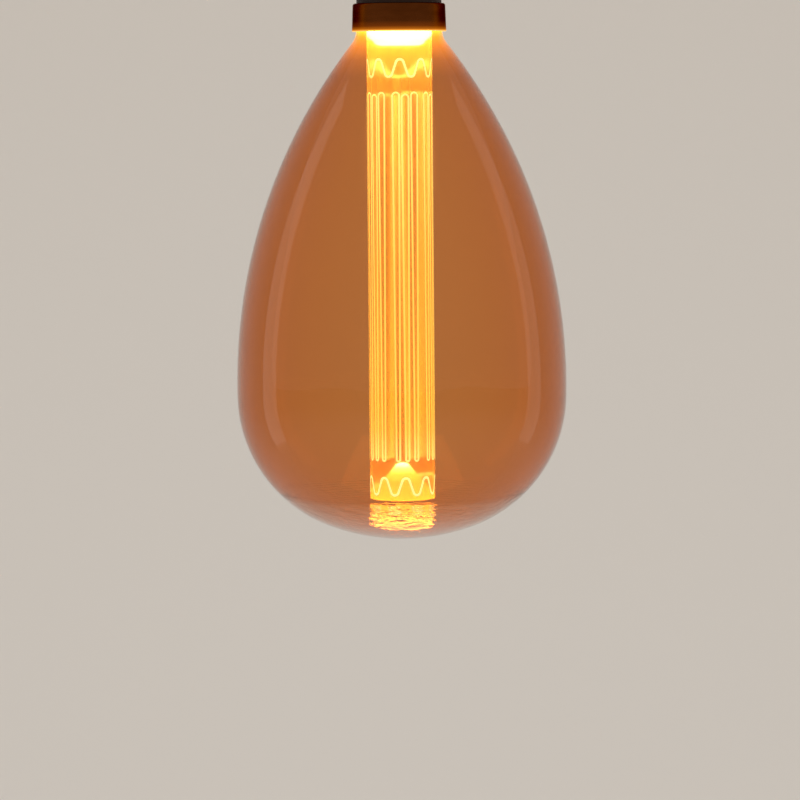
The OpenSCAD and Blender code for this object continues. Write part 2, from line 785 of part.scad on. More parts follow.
// The choke lies on the back of the board: a ferrite bobbin with a winding between flanges
module choke_core() {
    r = choke_d / 2;
    color("dimgray")
        union() {
            translate([0, choke_y, choke_top - choke_l])
                rotate_extrude()
                    polygon([
                        [0, 0], [r, 0], [r, choke_flange], [r * 0.45, choke_flange],
                        [r * 0.45, choke_l - choke_flange], [r, choke_l - choke_flange],
                        [r, choke_l], [0, choke_l]
                    ]);
            for (x = [-1, 1])
                bent_pin(x * choke_pin_x, choke_top, choke_d / 2 + fit, choke_pin_rise, -1);
        }
}

module choke_winding() {
    r = choke_d / 2;
    color("peru")
        translate([0, choke_y, choke_top - choke_l + choke_flange])
            difference() {
                cylinder(h = choke_l - 2 * choke_flange, r = r * 0.9);
                translate([0, 0, -past]) cylinder(h = choke_l + past, r = r * 0.45);
            }
}

// The fuse resistor stands on the board's front, in line with the live lead
module fuse_resistor() {
    r = fuse_d / 2;
    color("seagreen")
        union() {
            translate([fuse_x, fuse_y, fuse_top - fuse_l])
                rotate_extrude()
                    polygon([
                        [0, 0], [r - 0.4, 0], [r, 0.4], [r, 1.6], [r - 0.25, 2],
                        [r - 0.25, fuse_l - 2], [r, fuse_l - 1.6], [r, fuse_l - 0.4],
                        [r - 0.4, fuse_l], [0, fuse_l]
                    ]);
            bent_pin(fuse_x, fuse_top - fuse_l, fuse_d / 2 + fit, -fuse_pin_drop, 1);
            translate([fuse_x, fuse_y, fuse_top]) cylinder(h = 1, r = wire_d / 2, $fn = 24);
        }
}

// A lead of round section that follows points, with its first and last rings flat
lead_sides = 8;
function ring(p, dir, r) =
    let (w = dir / norm(dir),
         side = cross(w, abs(w.x) < 0.9 ? [1, 0, 0] : [0, 1, 0]),
         u = side / norm(side),
         v = cross(w, u))
    [for (i = [0:lead_sides - 1])
        p + r * (cos(360 * i / lead_sides) * u + sin(360 * i / lead_sides) * v)];

// A point of the curve that leaves a along da and arrives at b along db
function curve(a, da, b, db, t) =
    pow(1 - t, 3) * a + 3 * t * pow(1 - t, 2) * (a + da)
    + 3 * t * t * (1 - t) * (b - db) + pow(t, 3) * b;

lead_steps = 10;
module lead(a, da, b, db) {
    points = [for (i = [0:lead_steps]) curve(a, da, b, db, i / lead_steps)];
    last = len(points) - 1;
    dirs = [for (i = [0:last])
        i == 0 ? da : i == last ? db : points[i + 1] - points[i - 1]];
    rings = [for (i = [0:last]) ring(points[i], dirs[i], lead_d / 2)];
    n = lead_sides;
    polyhedron(
        points = [for (r = rings, p = r) p],
        faces = concat(
            [[for (i = [0:n - 1]) i]],
            [for (k = [0:last - 1], i = [0:n - 1]) let (j = (i + 1) % n)
                each [[k * n + i, (k + 1) * n + i, k * n + j],
                      [k * n + j, (k + 1) * n + i, (k + 1) * n + j]]],
            [[for (i = [n - 1:-1:0]) last * n + i]]));
}

module live_lead() {
    start = [0, 0, insulator_low - 1];
    end = [fuse_x, fuse_y, fuse_top + 1];
    color("saddlebrown") lead(start, [0, 0, -1.5], end, [0, 0, -1]);
}

module neutral_lead() {
    x = housing_neck_r - groove_w / 2;
    turn_z = housing_top - notch_h + fit;
    color("royalblue")
        union() {
            lead([x, 0, housing_top - groove_len + fit], [0, 0, 1], [x, 0, turn_z], [0, 0, 1]);
            lead([x, 0, turn_z], [0, 0, 1.6],
                 [driver_w / 2 - 2, 0, driver_top], [0, 0, -2.5]);
        }
}

// The LED leads run from the driver board's lower edge into holes in the LED board
module led_lead(side) {
    color(side > 0 ? "firebrick" : "black")
        lead([side * (solder_r + 0.4), 0, driver_low], [0, 0, -1.5],
             [side * solder_r, 0, board_low], [0, 0, -2.5]);
}

// A domed drop of solder under each LED lead
module led_solder() {
    h = 0.5;
    r = lead_d / 2 + 0.3;
    color("silver")
        for (side = [-1, 1])
            translate([side * solder_r, 0, board_low])
                rotate_extrude()
                    polygon([[0, 0], [r, 0], [r * 0.8, -h * 0.5], [r * 0.45, -h], [0, -h]]);
}

glass_bulb();
collar();
neck_cement();
driver_housing();
screw_shell();
cap_insulator();
centre_contact();
light_guide();
guide_holder();
led_board();
led_packages();
led_phosphors();
board_screws();
thermal_pad();
heat_sink();
driver_board();
bridge_rectifier();
driver_chip();
sense_resistors();
film_capacitor();
smoothing_capacitor();
capacitor_sleeve();
choke_core();
choke_winding();
fuse_resistor();
live_lead();
neutral_lead();
led_lead(1);  // led_lead_positive
led_lead(-1);  // led_lead_negative
led_solder();
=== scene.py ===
"""Looks for the teardrop LED bulb: amber glass round an engraved, lit light guide, cap up."""

from math import asin, atan2, cos, hypot, pi, radians, sin, sqrt, tan, tau

import bmesh
import bpy
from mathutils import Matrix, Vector


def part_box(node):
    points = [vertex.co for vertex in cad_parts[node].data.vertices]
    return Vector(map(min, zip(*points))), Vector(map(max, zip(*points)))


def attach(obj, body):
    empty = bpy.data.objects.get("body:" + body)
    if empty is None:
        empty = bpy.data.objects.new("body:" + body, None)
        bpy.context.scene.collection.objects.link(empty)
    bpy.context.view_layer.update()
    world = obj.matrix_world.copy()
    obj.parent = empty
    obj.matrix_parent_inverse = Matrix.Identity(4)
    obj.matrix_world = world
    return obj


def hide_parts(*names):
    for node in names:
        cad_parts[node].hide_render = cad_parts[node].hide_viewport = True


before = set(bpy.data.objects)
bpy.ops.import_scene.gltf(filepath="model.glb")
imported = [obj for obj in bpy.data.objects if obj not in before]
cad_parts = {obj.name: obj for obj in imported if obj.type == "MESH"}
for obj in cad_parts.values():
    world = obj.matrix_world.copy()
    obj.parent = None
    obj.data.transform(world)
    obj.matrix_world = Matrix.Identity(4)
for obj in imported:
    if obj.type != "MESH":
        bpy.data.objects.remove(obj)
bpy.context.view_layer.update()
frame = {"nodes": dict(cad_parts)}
MM = 0.001

# ---- Sizes, in metres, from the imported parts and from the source's driving dimensions ----

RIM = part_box("collar")[0].z
COLLAR_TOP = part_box("collar")[1].z
COLLAR_RIM_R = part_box("collar")[1].x
CAP_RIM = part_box("screw_shell")[0].z
SHELL_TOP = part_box("screw_shell")[1].z
GUIDE_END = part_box("light_guide")[0].z
GUIDE_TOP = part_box("light_guide")[1].z
BOARD_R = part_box("led_board")[1].x

# Glass
GLASS_R = 82.5 * MM
GLASS_WALL = 1.1 * MM
BELLY = RIM - 176 * MM
NECK_R = 21.4 * MM
NECK_TOP = RIM + 10.4 * MM
NECK_ARC_R = 10 * MM
FLARE_INSET = 0.7 * MM
LOWER_ARC_R = 70.4 * MM
LOWER_ARC_START = radians(1.3)
BASE_ARC_R = 103 * MM
GLASS_SEGMENTS = 256
NECK_GLOW_H = 22 * MM

# Fine rings on the outside of the glass base, round its lowest point
RING_PITCH = 1.6 * MM
RING_H = 0.25 * MM
RING_REACH = 67.5 * MM
RING_FADE = 0.94  # where the rings start to fade, as a share of their reach
RING_WAVER = 1.5  # in pitches

# Light guide
GUIDE_R = 16.3 * MM
GUIDE_CHAMFER = 0.4 * MM
FLANGE_H = 1.2 * MM
FLANGE_LOW = GUIDE_TOP - FLANGE_H
DISH_R = 14 * MM
DISH_FLOOR_R = 7.4 * MM
DISH_BEND_R = 3 * MM
DISH_DEPTH = 9.5 * MM
RECESS_R = 12 * MM
RECESS_DEPTH = 18.5 * MM
RECESS_TIP_R = 2.6 * MM
ZONE_MARGIN = 1 * MM
END_SLACK = 0.01 * MM

# Engraving: its lines are bars of elliptic section, sunk a little into the guide
BAR_HALF_H = 0.12 * MM
BAR_SUNK = 0.05 * MM
ETCH_W = 1.0 * MM
BAND_W = 1.4 * MM
STEM_W = 0.3 * MM
HAIRPIN_GROUPS = 6
HAIRPIN_TURN = radians(16.5)
HAIRPIN_PHASE = radians(-80.5)
HAIRPIN_GAP = 0.2 * MM
HAIRPIN_LOW_R = 0.9 * MM
HAIRPIN_TOP = RIM - 30 * MM
HAIRPIN_END = GUIDE_END + 19.5 * MM
MIDDLE_DROP = 1 * MM
STEM_OVERLAP = 1.2 * MM
BAND_WAVES = 9
WAVE_H = 10 * MM
WAVE_R = 1.9 * MM
WAVE_PHASE = radians(-89.5)
WAVE_BEND_STEPS = 10
UPPER_BAND = RIM - 18.4 * MM
LOWER_BAND = GUIDE_END + 7.2 * MM
LOWER_BAND_TURN = radians(5.5)

# Collar
COLLAR_WALL = 0.8 * MM
COLLAR_TAPER = 0.4 * MM
COLLAR_TOP_R = COLLAR_RIM_R - COLLAR_TAPER
COLLAR_EDGE_R = 1.2 * MM
COLLAR_LEDGE_W = 1.8 * MM
COLLAR_HOLE_R = COLLAR_TOP_R - COLLAR_LEDGE_W
COLLAR_GLOW_H = 5 * MM

# Screw cap
THREAD_CREST_R = 13.1 * MM
THREAD_DEPTH = 1.0 * MM
THREAD_PITCH = 3.63 * MM
THREAD_ROWS = 96
THREAD_RUN_IN = 0.6  # turns in which it rises from the root below the top edge
THREAD_RUN_OUT = 0.5  # turns in which it fills up to the crest above the band
THREAD_WAVE = 0.56  # over 0.5, so crests and roots are cut to narrow flats
CURL_R = 1.2 * MM
SHEET = 0.35 * MM
BAND_H = 4.2 * MM
SHELL_RIM_R = 13.8 * MM
SHELL_RIM_H = 0.8 * MM
SHELL_RIM_EDGE = 0.1 * MM

# Driver parts: sizes of the bodies past which their metal legs, end caps and wires lie
CHIP_HALF_W = 1.95 * MM
RESISTOR_L = 3.2 * MM
RESISTOR_END = 0.5 * MM
FUSE_L = 8 * MM
FUSE_WIRE = 1 * MM
CHOKE_FLANGE = 1.2 * MM
BODY_SLACK = 0.02 * MM
WIRE_PITCH = 0.33 * MM

# Stage, lights and camera
BACK_Y = 2.7
BACK_TOP = 3.2
FLOOR_Z = -0.95
SWEEP_R = 1.0
STAGE_REACH = 12
STRIP_SIZE = (0.4, 3.0)
OVERHEAD_SIZE = (3.0, 3.0)
STUDIO_TONE = (1, 0.955, 0.905)
STUDIO_STRENGTH = 0.5
VIEW_X = -1 * MM
VIEW_DISTANCE = 2.1
FRAME_W = 0.4
EYE_Z = RIM - 34 * MM
AIM_Z = RIM - 184 * MM
CAMERA_ROLL = radians(-0.45)
SENSOR_W = 36


# ---- Meshes ----

# Spots closer together than this are one
SAME_SPOT = 1e-7


def straight(start, end, steps):
    """Points of a straight side without the first one, so that sides join into an outline."""
    return [(start[0] + (end[0] - start[0]) * i / steps, start[1] + (end[1] - start[1]) * i / steps)
            for i in range(1, steps + 1)]


def arc(centre, radius, start, end, steps):
    """Points of an arc about centre, without the first one."""
    angles = [start + (end - start) * i / steps for i in range(1, steps + 1)]
    return [(centre[0] + radius * cos(a), centre[1] + radius * sin(a)) for a in angles]


def make_ring(mesh_data, z, segments, radius_at, centre=(0, 0)):
    """A ring of vertices at height z. radius_at gives the radius at a share of the full turn."""
    ring = []
    for j in range(segments):
        radius = radius_at(j / segments)
        angle = tau * j / segments
        ring.append(mesh_data.verts.new((centre[0] + radius * cos(angle),
                                         centre[1] + radius * sin(angle), z)))
    return ring


def grid_faces(mesh_data, rings, closed_rows):
    """Joins rings of vertices, each closed on itself, and the last to the first if asked.
    A ring of one vertex is a pole."""
    rows = len(rings) if closed_rows else len(rings) - 1
    for i in range(rows):
        one, two = rings[i], rings[(i + 1) % len(rings)]
        n = max(len(one), len(two))
        for j in range(n):
            corners = [one[j % len(one)], one[(j + 1) % len(one)],
                       two[(j + 1) % len(two)], two[j % len(two)]]
            corners = list(dict.fromkeys(corners))
            if len(corners) > 2:
                mesh_data.faces.new(corners)


def finish_mesh(name, mesh_data, sharp=35):
    """Turns a bmesh into an object with outward normals. It is smooth but for the edges that
    turn by more than sharp degrees."""
    bmesh.ops.remove_doubles(mesh_data, verts=mesh_data.verts, dist=SAME_SPOT)
    bmesh.ops.recalc_face_normals(mesh_data, faces=mesh_data.faces)
    mesh = bpy.data.meshes.new(name)
    mesh_data.to_mesh(mesh)
    mesh_data.free()
    for polygon in mesh.polygons:
        polygon.use_smooth = True
    mesh.set_sharp_from_angle(angle=radians(sharp))
    piece = bpy.data.objects.new(name, mesh)
    bpy.context.scene.collection.objects.link(piece)
    return piece


def revolve(name, outline, segments=192, closed=False):
    """A body of revolution. outline is a list of (radius, z); its ends lie on the axis,
    or it is closed, and then it runs round the section."""
    mesh_data = bmesh.new()
    rings = []
    for radius, z in outline:
        if radius < SAME_SPOT:
            rings.append([mesh_data.verts.new((0, 0, z))])
        else:
            rings.append(make_ring(mesh_data, z, segments, lambda turn: radius))
    grid_faces(mesh_data, rings, closed)
    return finish_mesh(name, mesh_data)


def place(piece, slot, *nodes):
    """Sets a piece on the bulb, in the place of the CAD nodes named."""
    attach(piece, "root")
    if nodes:
        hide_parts(*nodes)
    return piece


# ---- Materials ----

# Noise stays between these values nearly everywhere
NOISE_LOW, NOISE_HIGH = 0.3, 0.7

# The colour sockets of a Mix node, whose names it gives to other sockets too
MIX_ONE, MIX_OTHER, MIX_RESULT = 6, 7, 2


class Material:
    """A Principled material with a few helpers for procedural detail in the bulb's own frame."""

    def __init__(self, name, **sockets):
        self.data = bpy.data.materials.new(name)
        self.data.use_nodes = True
        self.nodes = self.data.node_tree.nodes
        self.links = self.data.node_tree.links
        self.shader = self.nodes["Principled BSDF"]
        self.output = self.nodes["Material Output"]
        self.set(**sockets)

    def set(self, **sockets):
        """Sets constants of the shader: base_color stands for its socket Base Color."""
        for key, value in sockets.items():
            title = key.replace("_", " ").title().replace("Ior", "IOR")
            self.feed(value, self.shader.inputs[title])

    def feed(self, value, target):
        """Joins a socket to the target, or sets the target to a number or a colour."""
        if isinstance(value, bpy.types.NodeSocket):
            self.links.new(value, target)
        elif target.type == "RGBA" and len(value) == 3:
            target.default_value = (*value, 1)
        else:
            target.default_value = value

    def node(self, kind, **settings):
        """A new node, such as kind "Math", with its settings."""
        made = self.nodes.new("ShaderNode" + kind)
        for key, value in settings.items():
            setattr(made, key, value)
        return made

    def math(self, operation, *terms):
        """The result of a Math node over numbers and sockets."""
        made = self.node("Math", operation=operation)
        for term, target in zip(terms, made.inputs):
            self.feed(term, target)
        return made.outputs[0]

    def blend(self, blend_type, factor, one, other):
        """Two colours blended by a factor from 0 to 1."""
        made = self.node("Mix", data_type="RGBA", blend_type=blend_type)
        self.feed(factor, made.inputs["Factor"])
        self.feed(one, made.inputs[MIX_ONE])
        self.feed(other, made.inputs[MIX_OTHER])
        return made.outputs[MIX_RESULT]

    def position(self):
        """The place on the bulb."""
        return self.node("TexCoord").outputs["Object"]

    def axes(self):
        """The sockets x, y and z of the place on the bulb."""
        split = self.node("SeparateXYZ")
        self.feed(self.position(), split.inputs[0])
        return split.outputs

    def distance(self, spot):
        """The distance from a spot in the bulb's frame."""
        away = self.node("VectorMath", operation="DISTANCE")
        self.feed(self.position(), away.inputs[0])
        self.feed(spot, away.inputs[1])
        return away.outputs["Value"]

    def noise(self, scale, detail=3, per_axis=(1, 1, 1)):
        """Noise over the place on the bulb. scale counts its features in a metre, and per_axis
        multiplies that along x, y and z."""
        mapping = self.node("Mapping")
        self.feed(self.position(), mapping.inputs["Vector"])
        self.feed(per_axis, mapping.inputs["Scale"])
        made = self.node("TexNoise")
        self.feed(mapping.outputs[0], made.inputs["Vector"])
        self.feed(scale, made.inputs["Scale"])
        self.feed(detail, made.inputs["Detail"])
        return made.outputs["Fac"]

    def ramp(self, source, *stops):
        """A ramp of (place, colour) stops, or of (place, grey)."""
        made = self.node("ValToRGB")
        elements = made.color_ramp.elements
        while len(elements) < len(stops):
            elements.new(0.5)
        for element, (spot, colour) in zip(elements, stops):
            element.position = spot
            grey = isinstance(colour, (int, float))
            element.color = (colour, colour, colour, 1) if grey else (*colour, 1)
        self.feed(source, made.inputs[0])
        return made.outputs[0]

    def span(self, source, low, high):
        """source, from low to high, as a number from 0 to 1."""
        made = self.node("MapRange")
        self.feed(low, made.inputs["From Min"])
        self.feed(high, made.inputs["From Max"])
        self.feed(source, made.inputs["Value"])
        return made.outputs["Result"]

    def ramp_by_height(self, start, end, *stops):
        """A ramp along the bulb's axis: its stops run from 0 at height start to 1 at end."""
        return self.ramp(self.span(self.axes()[2], start, end), *stops)

    def drift(self, socket_name, one, other, scale, detail, per_axis):
        """Lets a socket of the shader drift between two values."""
        noise = self.noise(scale, detail, per_axis)
        tone = self.ramp(noise, (NOISE_LOW, one), (NOISE_HIGH, other))
        self.feed(tone, self.shader.inputs[socket_name])

    def mottle(self, colour, other, scale, detail=3, per_axis=(1, 1, 1)):
        """A base colour that drifts between two tones."""
        self.drift("Base Color", colour, other, scale, detail, per_axis)

    def uneven_gloss(self, low, high, scale, detail=4, per_axis=(1, 1, 1)):
        """A roughness that drifts between two values."""
        self.drift("Roughness", low, high, scale, detail, per_axis)

    def bump(self, height, strength, distance):
        """Relief: distance is how high in metres a height of 1 stands."""
        made = self.node("Bump")
        self.feed(strength, made.inputs["Strength"])
        self.feed(distance, made.inputs["Distance"])
        self.feed(height, made.inputs["Height"])
        self.feed(made.outputs[0], self.shader.inputs["Normal"])

    def texture(self, scale, strength, distance, per_axis=(1, 1, 1)):
        """The relief of a slightly uneven surface."""
        self.bump(self.noise(scale, detail=4, per_axis=per_axis), strength, distance)

    def glow(self, colour, strength):
        """Emission: one colour, or a socket of colours by place."""
        self.feed(colour, self.shader.inputs["Emission Color"])
        self.feed(strength, self.shader.inputs["Emission Strength"])


def finish_with(piece, *materials):
    """Gives a piece its materials, in place of any that it has."""
    piece.data.materials.clear()
    for material in materials:
        piece.data.materials.append(material.data)


# ---- Glass bulb ----

def glass_outline(inset):
    """The glass surface set in by inset, from the neck's top edge down to the axis. Its four
    arcs touch each other: flare, upper side, lower side and base."""
    flare = (NECK_R + NECK_ARC_R, RIM + FLARE_INSET)
    # The upper arc is widest at the belly, and its circle touches the flare's from outside
    gap = flare[0] - GLASS_R
    upper_r = (((flare[1] - BELLY) ** 2 + gap ** 2 - NECK_ARC_R ** 2)
               / (2 * (NECK_ARC_R - gap)))
    upper = (GLASS_R - upper_r, BELLY)
    flare_turn = atan2(flare[1] - upper[1], flare[0] - upper[0])
    lower = (upper[0] + (upper_r - LOWER_ARC_R) * cos(LOWER_ARC_START),
             upper[1] - (upper_r - LOWER_ARC_R) * sin(LOWER_ARC_START))
    base = (0, lower[1] + sqrt((BASE_ARC_R - LOWER_ARC_R) ** 2 - lower[0] ** 2))
    base_turn = atan2(lower[1] - base[1], lower[0])
    outline = [(NECK_R - inset, NECK_TOP), (NECK_R - inset, flare[1])]
    outline += arc(flare, NECK_ARC_R + inset, pi, pi + flare_turn, 16)
    outline += arc(upper, upper_r - inset, flare_turn, -LOWER_ARC_START, 60)
    outline += arc(lower, LOWER_ARC_R - inset, -LOWER_ARC_START, base_turn, 40)
    outline += arc(base, BASE_ARC_R - inset, base_turn, -pi / 2, 24)
    outline[-1] = (0, outline[-1][1])
    return outline


def mark_outside(piece, count):
    """Marks the first vertices of a piece, which are those of its outer surface."""
    mark = piece.data.attributes.new("outside", "FLOAT", "POINT")
    for i in range(count):
        mark.data[i].value = 1


def add_base_rings(material, lowest):
    """Saw-tooth rings about the lowest point, on the outer surface only."""
    away = material.distance(lowest)
    waver = material.math("MULTIPLY", material.noise(scale=500, per_axis=(0.3, 0.3, 1)), RING_WAVER)
    pitches = material.math("MULTIPLY", away, 1 / RING_PITCH)
    teeth = material.math("FRACT", material.math("ADD", pitches, waver))
    outside = material.node("Attribute", attribute_name="outside").outputs["Fac"]
    in_base = material.ramp(material.span(away, 0, RING_REACH), (RING_FADE, 1), (1.0, 0))
    height = material.math("MULTIPLY", material.math("MULTIPLY", teeth, outside), in_base)
    material.bump(height, strength=1, distance=RING_H)


outer_outline = glass_outline(0)
glass = revolve("glass_envelope", outer_outline + glass_outline(GLASS_WALL)[::-1],
                GLASS_SEGMENTS, closed=True)
mark_outside(glass, (len(outer_outline) - 1) * GLASS_SEGMENTS + 1)
place(glass, "amber_glass", "glass_bulb")

# Clear glass, amber all through, with painted light near the lit neck: a glow that fades out
# downwards. The rings in its base draw the lit guide's end out into a patch of glitter
amber = Material("amber_glass", base_color=(1, 0.98, 0.95), roughness=0.0,
                 transmission_weight=1, ior=1.5)
absorb = amber.node("VolumeAbsorption")
amber.feed((0.9, 0.57, 0.04), absorb.inputs["Color"])
amber.feed(1400, absorb.inputs["Density"])
amber.feed(absorb.outputs[0], amber.output.inputs["Volume"])
amber.glow(amber.ramp_by_height(
    RIM, RIM - NECK_GLOW_H,
    (0.0, (1, 0.6, 0.02)), (0.12, (0.6, 0.3, 0.003)), (0.35, (0.28, 0.12, 0)),
    (0.65, (0.08, 0.03, 0)), (1.0, (0, 0, 0))), strength=0.7)
add_base_rings(amber, (0, 0, outer_outline[-1][1]))
finish_with(glass, amber)


# ---- Light guide ----

def guide_outline():
    """The rod's half section: bowl over the LEDs, flange, side, end face, and cone with its
    round tip."""
    # A bend joins the bowl's level floor and its steep side, and touches both
    steep = atan2(DISH_DEPTH, DISH_R - DISH_FLOOR_R)
    bend = (DISH_FLOOR_R - DISH_BEND_R * tan(steep / 2), GUIDE_TOP - DISH_DEPTH + DISH_BEND_R)
    outline = [(0, GUIDE_TOP - DISH_DEPTH), (bend[0], GUIDE_TOP - DISH_DEPTH)]
    outline += arc(bend, DISH_BEND_R, -pi / 2, steep - pi / 2, 12)
    outline += [(DISH_R, GUIDE_TOP), (BOARD_R, GUIDE_TOP),
                (BOARD_R, FLANGE_LOW), (GUIDE_R, FLANGE_LOW)]
    outline += straight((GUIDE_R, FLANGE_LOW), (GUIDE_R, GUIDE_END + GUIDE_CHAMFER), 24)
    outline += [(GUIDE_R - GUIDE_CHAMFER, GUIDE_END), (RECESS_R, GUIDE_END)]
    # The cone's side touches the round tip
    tip_rise = RECESS_DEPTH - RECESS_TIP_R
    slope = atan2(tip_rise, RECESS_R) + asin(RECESS_TIP_R / hypot(RECESS_R, tip_rise))
    tip = (0, GUIDE_END + tip_rise)
    cone_end = (RECESS_TIP_R * sin(slope), tip[1] + RECESS_TIP_R * cos(slope))
    outline += straight((RECESS_R, GUIDE_END), cone_end, 12)
    outline += arc(tip, RECESS_TIP_R, pi / 2 - slope, pi / 2, 10)
    outline[-1] = (0, outline[-1][1])
    return outline


# Places of the guide's materials in its list
ON_ROD, ON_DISH, ON_CONE, ON_END = range(4)


def guide_zone(centre):
    """Which of the guide's materials a face has, by the centre of the face."""
    from_axis = hypot(centre.x, centre.y)
    if centre.z > GUIDE_TOP - DISH_DEPTH - ZONE_MARGIN and from_axis < DISH_R:
        return ON_DISH
    if centre.z < GUIDE_END + END_SLACK:
        return ON_END
    if centre.z < GUIDE_END + RECESS_DEPTH + ZONE_MARGIN and from_axis < RECESS_R:
        return ON_CONE
    return ON_ROD


guide = revolve("guide_rod", guide_outline())
place(guide, "clear_acrylic", "light_guide")

# The rod's glow, from white at the LEDs to a dim amber along it, a little streaky down the rod
acrylic = Material("clear_acrylic", base_color=(0.88, 0.55, 0.17), roughness=0.2,
                   transmission_weight=0.6, ior=1.49)
shine = acrylic.ramp_by_height(
    RIM, GUIDE_END,
    (0.0, (0.9, 0.8, 0.7)), (0.012, (0.7, 0.5, 0.2)), (0.022, (0.4, 0.24, 0.03)),
    (0.043, (0.3, 0.17, 0.01)), (0.075, (0.26, 0.13, 0.004)), (0.113, (0.22, 0.09, 0.001)),
    (0.2, (0.1, 0.055, 0.0)), (0.84, (0.06, 0.045, 0.0)), (0.9, (0.06, 0.035, 0.0)),
    (0.94, (0.12, 0.08, 0.002)), (1.0, (0.12, 0.08, 0.002)))
streaks = acrylic.ramp(acrylic.noise(scale=260, per_axis=(1, 1, 0.015)),
                       (NOISE_LOW, 0.75), (NOISE_HIGH, 1.25))
acrylic.glow(acrylic.blend("MULTIPLY", 1, shine, streaks), strength=1.7)

dish_light = Material("dish_light", base_color=(0.9, 0.88, 0.8), roughness=0.3)
dish_light.glow((0.8, 0.92, 1), strength=22)
cone_light = Material("cone_light", base_color=(0.9, 0.75, 0.45), roughness=0.2)
cone_light.glow(cone_light.ramp_by_height(
    GUIDE_END, GUIDE_END + RECESS_DEPTH,
    (0.0, (0.1, 0.075, 0.02)), (0.45, (0.1, 0.075, 0.02)), (0.7, (0.16, 0.15, 0.05)),
    (0.85, (0.4, 0.42, 0.25)), (0.95, (0.9, 1, 0.9))), strength=20)
end_light = Material("guide_end_light", base_color=(0.9, 0.75, 0.45), roughness=0.3)
end_light.glow((1, 0.55, 0.1), strength=12)

finish_with(guide, acrylic, dish_light, cone_light, end_light)
for polygon in guide.data.polygons:
    polygon.material_index = guide_zone(polygon.center)


# ---- Engraving ----

def line_ring(mesh_data, spot, out, side, width, sides=8):
    """One section of an engraved line: out and side are the directions of its height and width."""
    ring = []
    for k in range(sides):
        angle = tau * k / sides
        ring.append(mesh_data.verts.new(spot + out * (BAR_HALF_H * sin(angle) - BAR_SUNK)
                                        + side * (width / 2 * cos(angle))))
    return ring


def lines_on_guide(name, paths, width, closed):
    """Engraved lines as slim bars that follow the guide. A path is a list of (distance round
    the guide, z)."""
    mesh_data = bmesh.new()
    for path in paths:
        outs = [Vector((cos(s / GUIDE_R), sin(s / GUIDE_R), 0)) for s, z in path]
        spots = [Vector((GUIDE_R * cos(s / GUIDE_R), GUIDE_R * sin(s / GUIDE_R), z))
                 for s, z in path]
        n = len(path)
        rings = []
        for i in range(n):
            after = spots[(i + 1) % n] if closed or i < n - 1 else spots[i]
            before = spots[i - 1] if closed or i > 0 else spots[i]
            side = (after - before).cross(outs[i]).normalized()
            rings.append(line_ring(mesh_data, spots[i], outs[i], side, width))
        grid_faces(mesh_data, rings, closed)
        if not closed:
            mesh_data.faces.new(rings[0])
            mesh_data.faces.new(rings[-1])
    return place(finish_mesh(name, mesh_data, sharp=60), "clear_acrylic")


def hairpin_path(angle, drop):
    """A hairpin: a round upper end, leaning legs and a narrower lower end."""
    top_r = (GUIDE_R * HAIRPIN_TURN - ETCH_W - HAIRPIN_GAP) / 2
    top_z = HAIRPIN_TOP - drop - ETCH_W / 2 - top_r
    low_z = HAIRPIN_END + ETCH_W / 2 + HAIRPIN_LOW_R
    lean = asin((top_r - HAIRPIN_LOW_R) / (top_z - low_z))
    middle = GUIDE_R * angle
    over = arc((middle, top_z), top_r, -lean, pi + lean, 14)
    under = arc((middle, low_z), HAIRPIN_LOW_R, pi + lean, tau - lean, 12)
    leg_down = straight(over[-1], under[0], 16)[:-1]
    leg_up = straight(under[-1], over[0], 16)[:-1]
    return over + leg_down + under + leg_up


def stem_path(angle):
    """A fine upright line from the upper band down to where two hairpins meet."""
    top = (GUIDE_R * angle, UPPER_BAND - WAVE_H / 2)
    low = (GUIDE_R * angle, HAIRPIN_TOP - STEM_OVERLAP)
    return [top] + straight(top, low, 4)


def wave_path(middle_z, phase):
    """A closed band of waves: rounded ends joined by slanted legs."""
    # Each leg touches the circles of two bends and crosses the line between their centres
    half_turn = pi / BAND_WAVES
    half_pitch = GUIDE_R * half_turn
    bend_gap = WAVE_H - BAND_W - 2 * WAVE_R
    centres = hypot(half_pitch, bend_gap)
    slant = atan2(half_pitch, bend_gap) - asin(2 * WAVE_R / centres)
    path = []
    for k in range(2 * BAND_WAVES):
        side = 1 if k % 2 == 0 else -1
        middle = GUIDE_R * (phase + k * half_turn)
        for i in range(WAVE_BEND_STEPS + 1):
            angle = pi - slant - (pi - 2 * slant) * i / WAVE_BEND_STEPS
            path.append((middle + WAVE_R * cos(angle),
                         middle_z + side * (bend_gap / 2 + WAVE_R * sin(angle))))
    return path


groups = [HAIRPIN_PHASE + tau * k / HAIRPIN_GROUPS for k in range(HAIRPIN_GROUPS)]
hairpin_paths = [hairpin_path(middle + k * HAIRPIN_TURN, MIDDLE_DROP if k == 0 else 0)
                 for middle in groups for k in (-1, 0, 1)]
stem_paths = [stem_path(middle + k * HAIRPIN_TURN / 2) for middle in groups for k in (-1, 1)]
upper_path = wave_path(UPPER_BAND, WAVE_PHASE)
lower_path = wave_path(LOWER_BAND, WAVE_PHASE + LOWER_BAND_TURN)

hairpins = lines_on_guide("engraved_hairpins", hairpin_paths, ETCH_W, closed=True)
stems = lines_on_guide("engraved_stems", stem_paths, STEM_W, closed=False)
upper_band = lines_on_guide("engraved_upper_band", [upper_path], BAND_W, closed=True)
lower_band = lines_on_guide("engraved_lower_band", [lower_path], BAND_W, closed=True)

